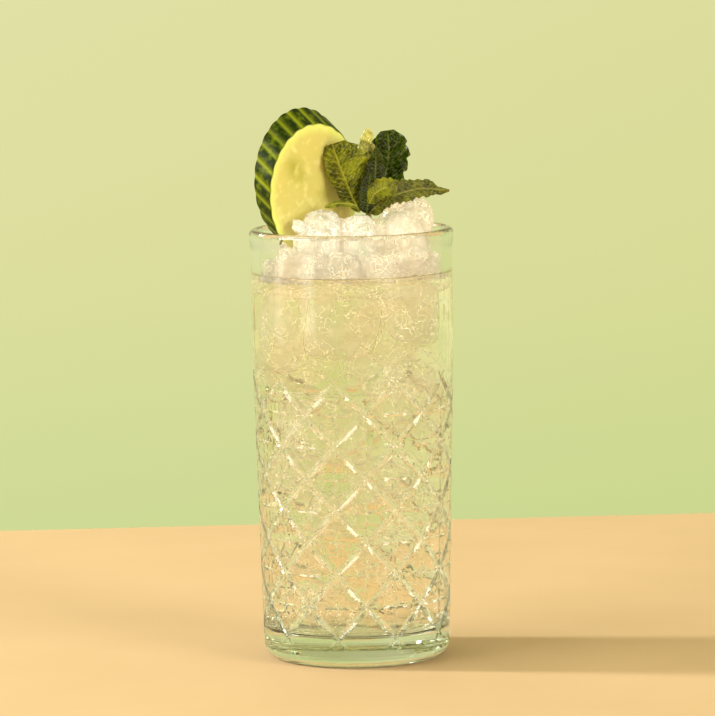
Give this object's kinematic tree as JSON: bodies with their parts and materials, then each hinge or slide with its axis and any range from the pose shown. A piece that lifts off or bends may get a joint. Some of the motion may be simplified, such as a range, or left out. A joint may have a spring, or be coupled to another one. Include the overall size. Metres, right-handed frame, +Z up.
{
  "type": "mojito cocktail",
  "caption": "Pale iced mint cocktail in a tall cut-glass tumbler, with ice heaped above the rim, a bias-cut cucumber slice and a mint sprig. For drinking scenes and bar settings.",
  "frame": {"origin": "middle of the foot, on the surface the tumbler stands on", "axes": "+Z up along the tumbler's axis; -Y is the side that faces the drinker, with the cucumber slice at -X"},
  "size_m": [0.0674, 0.0674, 0.1819],
  "materials": {
    "cut_glass": "clear faintly green cut glass, polished",
    "drink": "clear pale yellow drink",
    "ice": "wet ice, cloudy at its core",
    "cucumber": "moist cut flesh and a waxy striped rind",
    "mint_stem": "fresh green stalk, soft sheen",
    "mint_leaf": "fresh mint leaf, crinkled between its veins, soft sheen"
  },
  "bodies": {
    "root": {"glass": "cut_glass", "drink": "drink", "cucumber_slice": "cucumber", "mint_stem": "mint_stem", "ice_front": "ice", "ice_middle": "ice", "ice_round": "ice", "ice_back": "ice", "ice_chip": "ice", "leaf_front_left": "mint_leaf", "leaf_right": "mint_leaf", "leaf_back_dark": "mint_leaf", "leaf_back_inner": "mint_leaf", "leaf_back_pale": "mint_leaf", "leaf_front_small": "mint_leaf", "leaf_centre": "mint_leaf", "leaf_left_small": "mint_leaf"}
  },
  "joints": []
}
